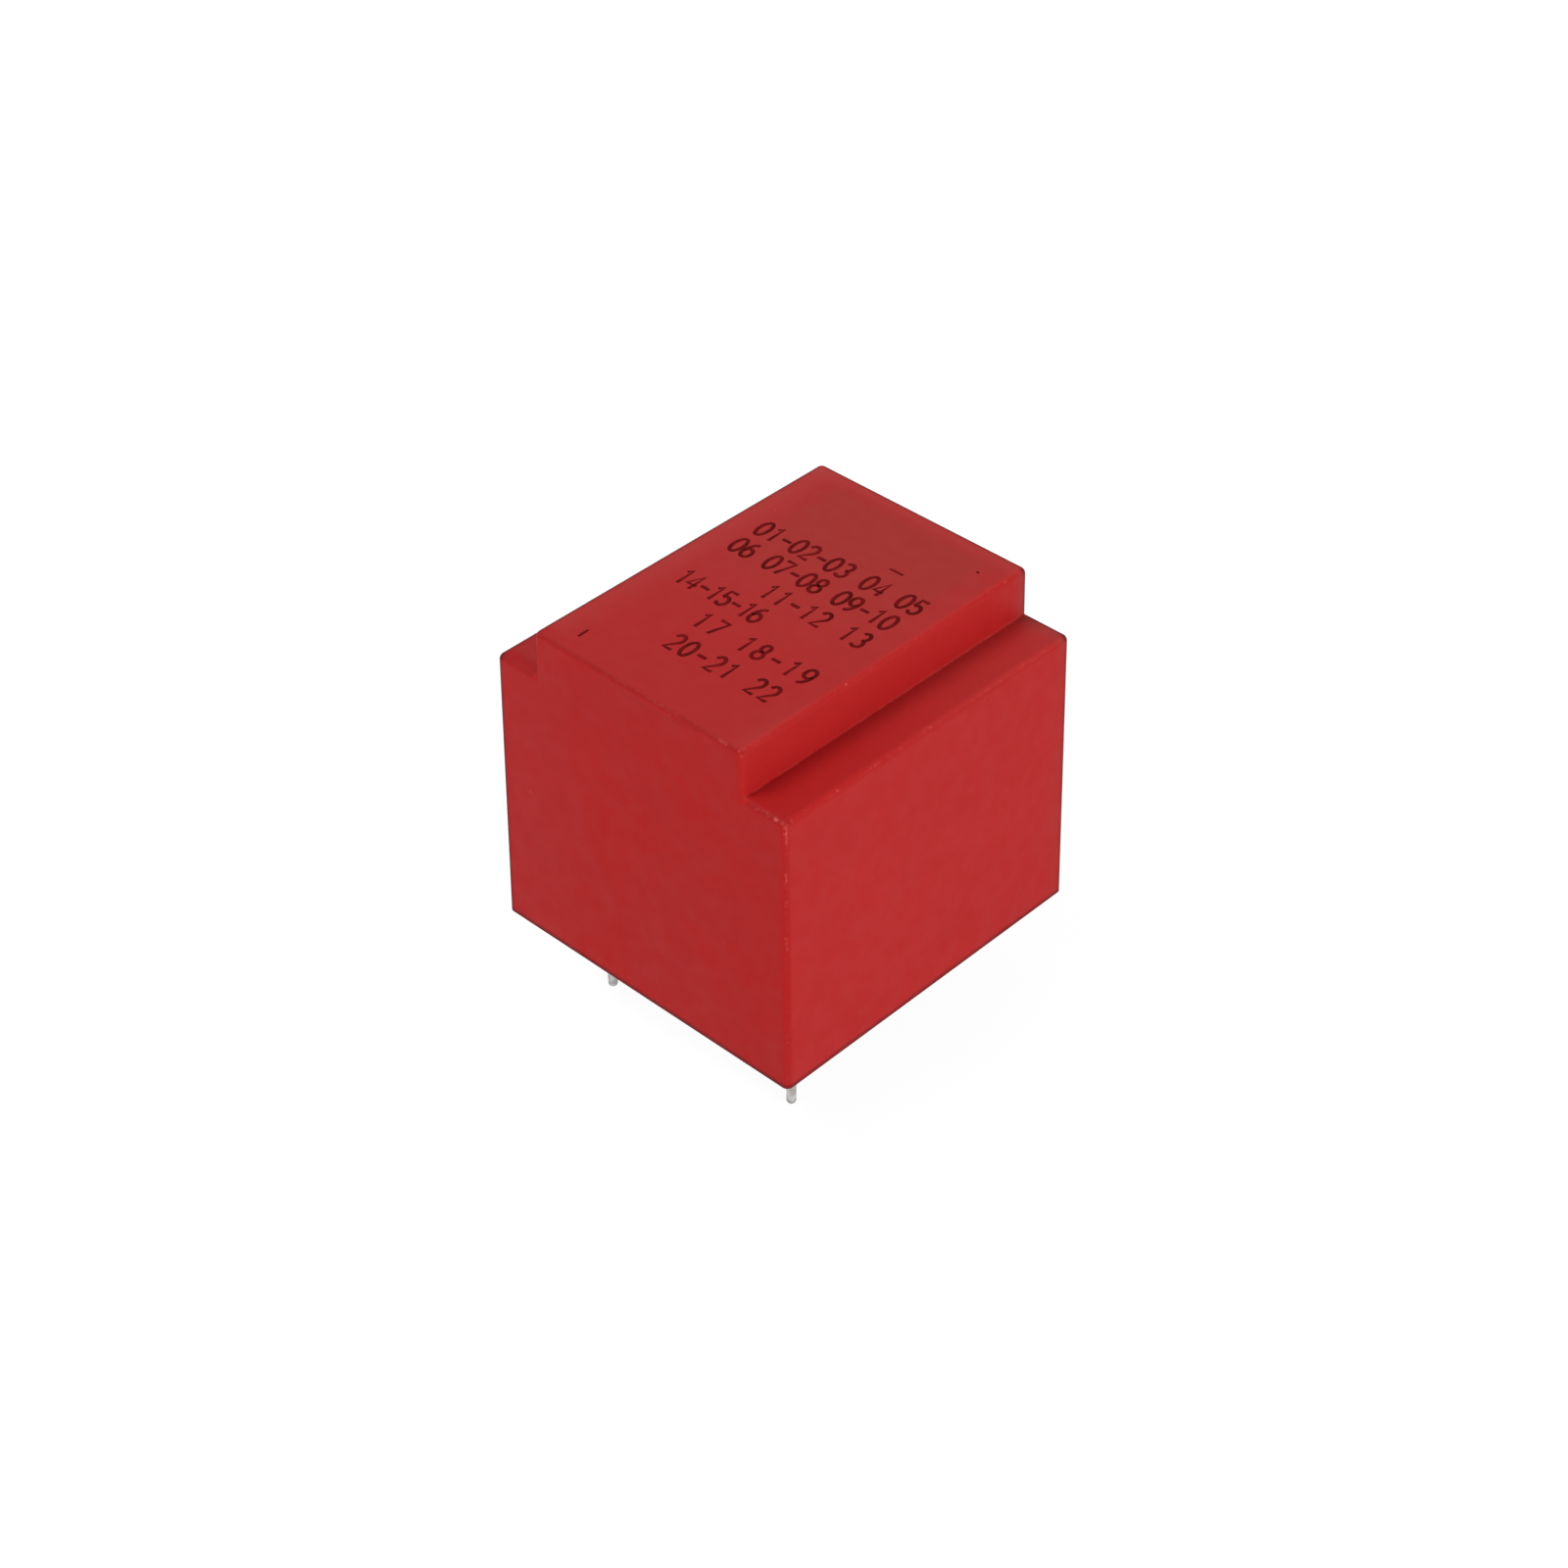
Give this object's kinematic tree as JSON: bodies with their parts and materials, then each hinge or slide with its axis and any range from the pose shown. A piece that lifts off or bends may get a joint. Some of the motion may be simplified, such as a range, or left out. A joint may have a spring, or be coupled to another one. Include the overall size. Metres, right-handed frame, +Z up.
{
  "type": "pcb transformer",
  "caption": "Small mains transformer for a circuit board: a stepped red potting case filled with resin, standing on round tinned pins below its open rim.",
  "frame": {"origin": "centre of the case's rim, in the plane that seats on the board", "axes": "+Z up, away from the board; +X across the stepped profile; +Y along the coil's axis, from the primary pins' end to the secondary pins' end"},
  "size_m": [0.023, 0.0238, 0.0286],
  "materials": {
    "case_plastic": "fine matt moulded texture",
    "resin": "cast, satin",
    "former_plastic": "moulded",
    "copper_wire": "enamelled wire, satin",
    "tape": "smooth film",
    "tinned_pin": "tinned, satin",
    "core_steel": "rolled, oxide grey"
  },
  "bodies": {
    "root": {"case": "case_plastic", "potting_resin": "resin", "coil_former": "former_plastic", "primary_winding": "copper_wire", "secondary_winding": "copper_wire", "primary_tape": "tape", "secondary_tape": "tape", "pin_1": "tinned_pin", "pin_4": "tinned_pin", "pin_6": "tinned_pin", "pin_7": "tinned_pin", "e_lamination_01": "core_steel", "e_lamination_02": "core_steel", "e_lamination_03": "core_steel", "e_lamination_04": "core_steel", "e_lamination_05": "core_steel", "e_lamination_06": "core_steel", "e_lamination_07": "core_steel", "e_lamination_08": "core_steel", "e_lamination_09": "core_steel", "e_lamination_10": "core_steel", "e_lamination_11": "core_steel", "e_lamination_12": "core_steel", "e_lamination_13": "core_steel", "e_lamination_14": "core_steel", "e_lamination_15": "core_steel", "e_lamination_16": "core_steel", "e_lamination_17": "core_steel", "e_lamination_18": "core_steel", "e_lamination_19": "core_steel", "e_lamination_20": "core_steel", "e_lamination_21": "core_steel", "e_lamination_22": "core_steel", "e_lamination_23": "core_steel", "e_lamination_24": "core_steel", "i_lamination_01": "core_steel", "i_lamination_02": "core_steel", "i_lamination_03": "core_steel", "i_lamination_04": "core_steel", "i_lamination_05": "core_steel", "i_lamination_06": "core_steel", "i_lamination_07": "core_steel", "i_lamination_08": "core_steel", "i_lamination_09": "core_steel", "i_lamination_10": "core_steel", "i_lamination_11": "core_steel", "i_lamination_12": "core_steel", "i_lamination_13": "core_steel", "i_lamination_14": "core_steel", "i_lamination_15": "core_steel", "i_lamination_16": "core_steel", "i_lamination_17": "core_steel", "i_lamination_18": "core_steel", "i_lamination_19": "core_steel", "i_lamination_20": "core_steel", "i_lamination_21": "core_steel", "i_lamination_22": "core_steel", "i_lamination_23": "core_steel", "i_lamination_24": "core_steel"}
  },
  "joints": []
}
